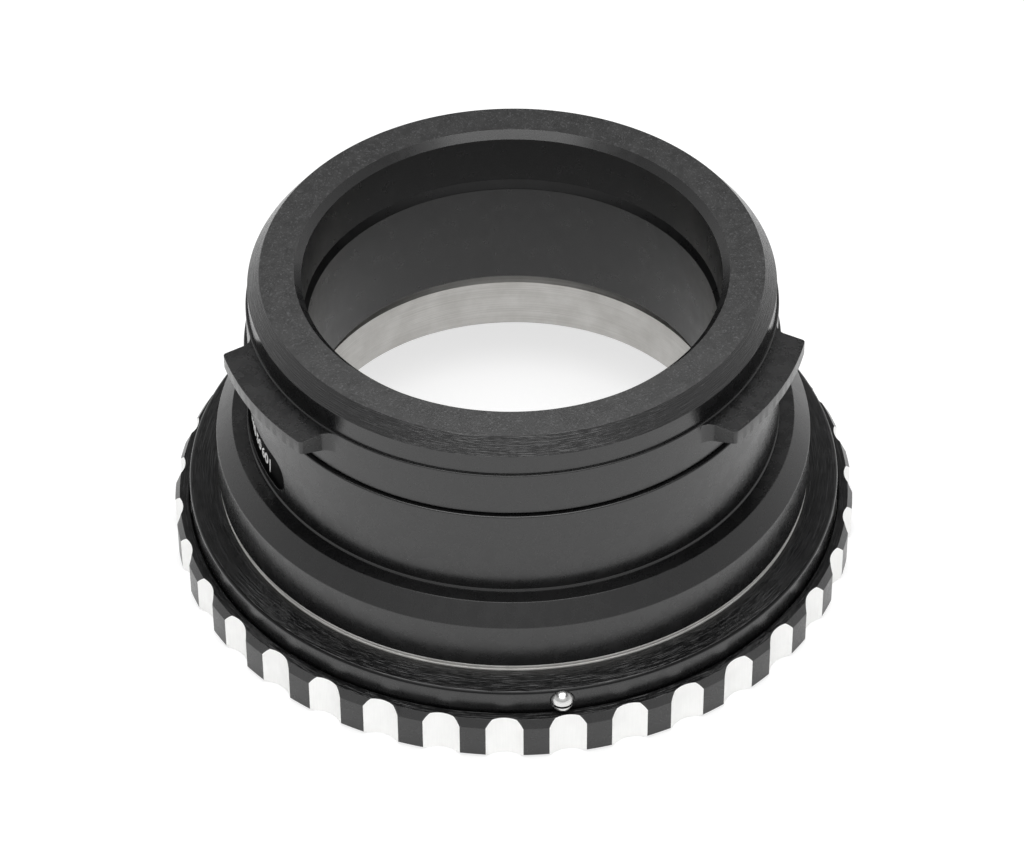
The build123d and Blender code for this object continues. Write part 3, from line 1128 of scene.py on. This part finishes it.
@dataclass
class Hardware:
    """Small CAD pieces that stay as they are and only get a finish."""

    steel: Material
    plastic: Material
    steel_nodes: tuple[str, ...] = ("flange_screws", "barrel_lock_screws", "lens_index_pin",
                                    "ring_stop_pin", "retaining_wire")
    plastic_nodes: tuple[str, ...] = ("glide_washer",)

    def build(self) -> None:
        """Dresses the pieces."""
        for nodes, finish in ((self.steel_nodes, self.steel), (self.plastic_nodes, self.plastic)):
            for name in nodes:
                Bench.dress(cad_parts[name], finish)
                log.info("%s: dressed", name)


@dataclass
class Studio:
    """White table, plain soft light and the camera at the photograph's angle."""

    focal: float = 157.7
    distance: float = 518.0
    elevation: float = 42.27
    aim_height: float = 13.76
    roll: float = -0.471
    yaw: float = 0.021
    table_size: float = 40.0
    table_white: float = 0.92
    table_glow: float = 1.22
    seen_share: float = 0.6
    mirrored_share: float = 0.25
    lamp_bright: float = 2.6
    lamp_size: Pair = (240.0, 300.0)
    lamp_place: Triple = (0.0, 0.0, 250.0)
    overhead: float = 1.7
    backdrop: float = 0.12
    room: float = 0.65
    front: float = 1.9
    back: float = 0.95
    front_rise: Pair = (0.0, 0.3)
    front_strip: Pair = (0.64, 0.84)
    back_rise: Pair = (0.0, 0.5)
    back_shade: Pair = (0.52, 0.66)
    back_strip: Pair = (0.80, 0.95)
    turn_over: Pair = (-0.6, 0.0)
    side_start: Pair = (0.3, 0.55)
    side_rise: Pair = (0.68, 0.8)
    side_shade: float = 0.9

    def camera(self) -> None:
        """Adds the camera."""
        data = bpy.data.cameras.new("camera")
        data.lens = self.focal
        data.sensor_width = 36.0
        data.clip_start = 0.01
        data.clip_end = 100.0
        camera = bpy.data.objects.new("camera", data)
        bpy.context.scene.collection.objects.link(camera)
        tilt = math.radians(self.elevation)
        forward = Vector((0, math.cos(tilt), -math.sin(tilt)))
        forward.rotate(Matrix.Rotation(math.radians(self.yaw), 3, "Z"))
        right = forward.cross(Vector((0, 0, 1))).normalized()
        up = right.cross(forward)
        roll = math.radians(self.roll)
        side = math.cos(roll) * right + math.sin(roll) * up
        head = -math.sin(roll) * right + math.cos(roll) * up
        turn = Matrix((side, head, -forward)).transposed().to_4x4()
        place = Vector((0, -self.distance * math.cos(tilt),
                        self.aim_height + self.distance * math.sin(tilt))) * MM
        camera.matrix_world = Matrix.Translation(place) @ turn
        bpy.context.scene.camera = camera

    def white(self) -> Material:
        """White table top, which the camera and reflections see nearly plain, with the object's shadow."""
        sheet = FinishSheet("table_white")
        seen = sheet.add("ShaderNodeLightPath", {}, {}, "Is Camera Ray")
        mirrored = sheet.add("ShaderNodeLightPath", {}, {}, "Is Glossy Ray")
        mirrored += sheet.add("ShaderNodeLightPath", {}, {}, "Is Transmission Ray")
        matt = sheet.shine(Base_Color=(self.table_white,) * 3 + (1.0,), Roughness=0.9, Specular_IOR_Level=0.1)
        glow = sheet.add("ShaderNodeEmission", {}, {"Strength": self.table_glow})
        share = seen * self.seen_share + mirrored * self.mirrored_share
        return sheet.ends_with(sheet.add("ShaderNodeMixShader", {}, {0: share, 1: matt, 2: glow}))

    def table(self) -> None:
        """Adds the table top."""
        Bench.clear_selection()
        bpy.ops.mesh.primitive_plane_add(size=self.table_size, location=(0, 0, -0.02 * MM))
        table = bpy.context.object
        table.name = "table"
        Bench.settle(table)
        Bench.dress(table, self.white())

    def lights(self) -> None:
        """Sets the world: a light strip overhead from front to back, dark sides and a bright front."""
        world = bpy.data.worlds.new("studio")
        bpy.context.scene.world = world
        world.use_nodes = True
        sheet = NodeSheet(world.node_tree)
        across, back, up = sheet.axes(sheet.add("ShaderNodeTexCoord", {}, {}, "Generated"))
        before = (up.spread(*self.front_rise, self.front, self.room)
                  + up.spread(*self.front_strip, 0.0, self.overhead - self.room))
        behind = (up.spread(*self.back_rise, self.back, self.room)
                  - up.spread(*self.back_shade, 0.0, self.room - self.backdrop)
                  + up.spread(*self.back_strip, 0.0, self.room))
        share = back.spread(*self.turn_over)
        beside = across.size().spread(*self.side_start) * up.spread(*self.side_rise)
        strength = (behind * share + before * (1 - share)) * (1 - beside * self.side_shade)
        light = sheet.add("ShaderNodeBackground", {}, {"Strength": strength})
        sheet.add("ShaderNodeOutputWorld", {}, {"Surface": light})

    def lamp(self) -> None:
        """Hangs the soft box over the object."""
        data = bpy.data.lights.new("soft_box", "AREA")
        data.shape = "RECTANGLE"
        data.size, data.size_y = (side * MM for side in self.lamp_size)
        data.energy = self.lamp_bright * math.pi * data.size * data.size_y
        box = bpy.data.objects.new("soft_box", data)
        box.location = [c * MM for c in self.lamp_place]
        bpy.context.scene.collection.objects.link(box)

    def build(self) -> None:
        """Sets up the studio."""
        self.camera()
        self.table()
        self.lights()
        self.lamp()
        bpy.context.scene.view_settings.view_transform = "Standard"


def finishes() -> dict[str, Material]:
    """Builds every finish once."""
    kinds = {
        "black": BlackAnodise("black_anodised"),
        "turned": BlackAnodise("black_turned", roughness=0.2, mark_depth=0.05, mark_length=3.0, scratch_and_highlight_share=0.3),
        "grained": BlackAnodise("black_grained", gloss=0.4, grain_depth=0.02, grain_scale=6000, specks=0.3),
        # Lighter streaked edge faces of the lugs: wear and a painted highlight in one.
        "wear_and_highlight": BlackAnodise("worn_edge_and_highlight", mark_length=1.5, scratch_and_highlight_share=1.0, scratch_and_highlight_colour=(0.4, 0.4, 0.39)),
        "faced": BlackAnodise("black_faced", mark_depth=0.06, mark_pitch=0.15, mark_length=4.0, roughness=0.2,
                              scratch_and_highlight_share=0.4),
        "satin": BlackAnodise("black_satin", colour=(0.0008, 0.0008, 0.0009), index=1.75, grain_depth=0.03,
                              grain_scale=4500, roughness=0.37, specks=0.95),
        "matt": BlackAnodise("matt_black", roughness=0.3, gloss=0.38),
        "inside": BlackAnodise("bore_black", roughness=0.3, gloss=0.17),
        "recess": BlackAnodise("recess_black", colour=(0.0012, 0.0012, 0.0013), roughness=0.6, gloss=0.03),
        "ring": BlackAnodise("ring_black"),
        # Bare metal for the seat sleeve, darker than the band: painted shade inside the bore.
        "bare": BareMetal("bare_steel", (0.63, 0.62, 0.60), (0.44, 0.43, 0.41)),
        "band": BareMetal("bare_band", (0.90, 0.89, 0.87), (0.62, 0.61, 0.59), 0.6),
        "milled": BareMetal("milled_bare", (0.98, 0.98, 0.97), (0.91, 0.91, 0.90), 0.5, round_the_axis=False),
        "screw": BareMetal("screw_steel", (0.86, 0.86, 0.85), (0.7, 0.7, 0.69), 0.25),
        "paint": PlainCoat("white_paint", (0.86, 0.86, 0.85), 0.55, 5000, 0.9),
        "plastic": PlainCoat("slip_plastic", (0.80, 0.80, 0.76), 0.45, 900, 0.92),
    }
    return {name: kind.build() for name, kind in kinds.items()}


def main() -> None:
    """Builds the adapter's pieces in order, top to bottom, and then the studio."""
    logging.basicConfig(level=logging.INFO, format="%(name)s: %(message)s")
    finish = finishes()
    BayonetBarrel(finish["black"], finish["satin"], finish["turned"], finish["inside"],
                  finish["grained"], finish["wear_and_highlight"]).build()
    InnerLiner(finish["matt"]).build()
    BodyTube(finish["black"], finish["recess"], finish["paint"]).build()
    MountCollar(finish["black"]).build()
    LensSeat(finish["bare"], finish["band"]).build()
    # The recess's near-black finish also goes on the screw slot's faces as painted shade.
    MountFlange(finish["black"], finish["faced"], finish["screw"], finish["recess"],
                finish["inside"]).build()
    LockingRing(finish["ring"], finish["faced"], finish["milled"]).build()
    Hardware(finish["screw"], finish["plastic"]).build()
    Studio().build()


if __name__ == "__main__":
    main()
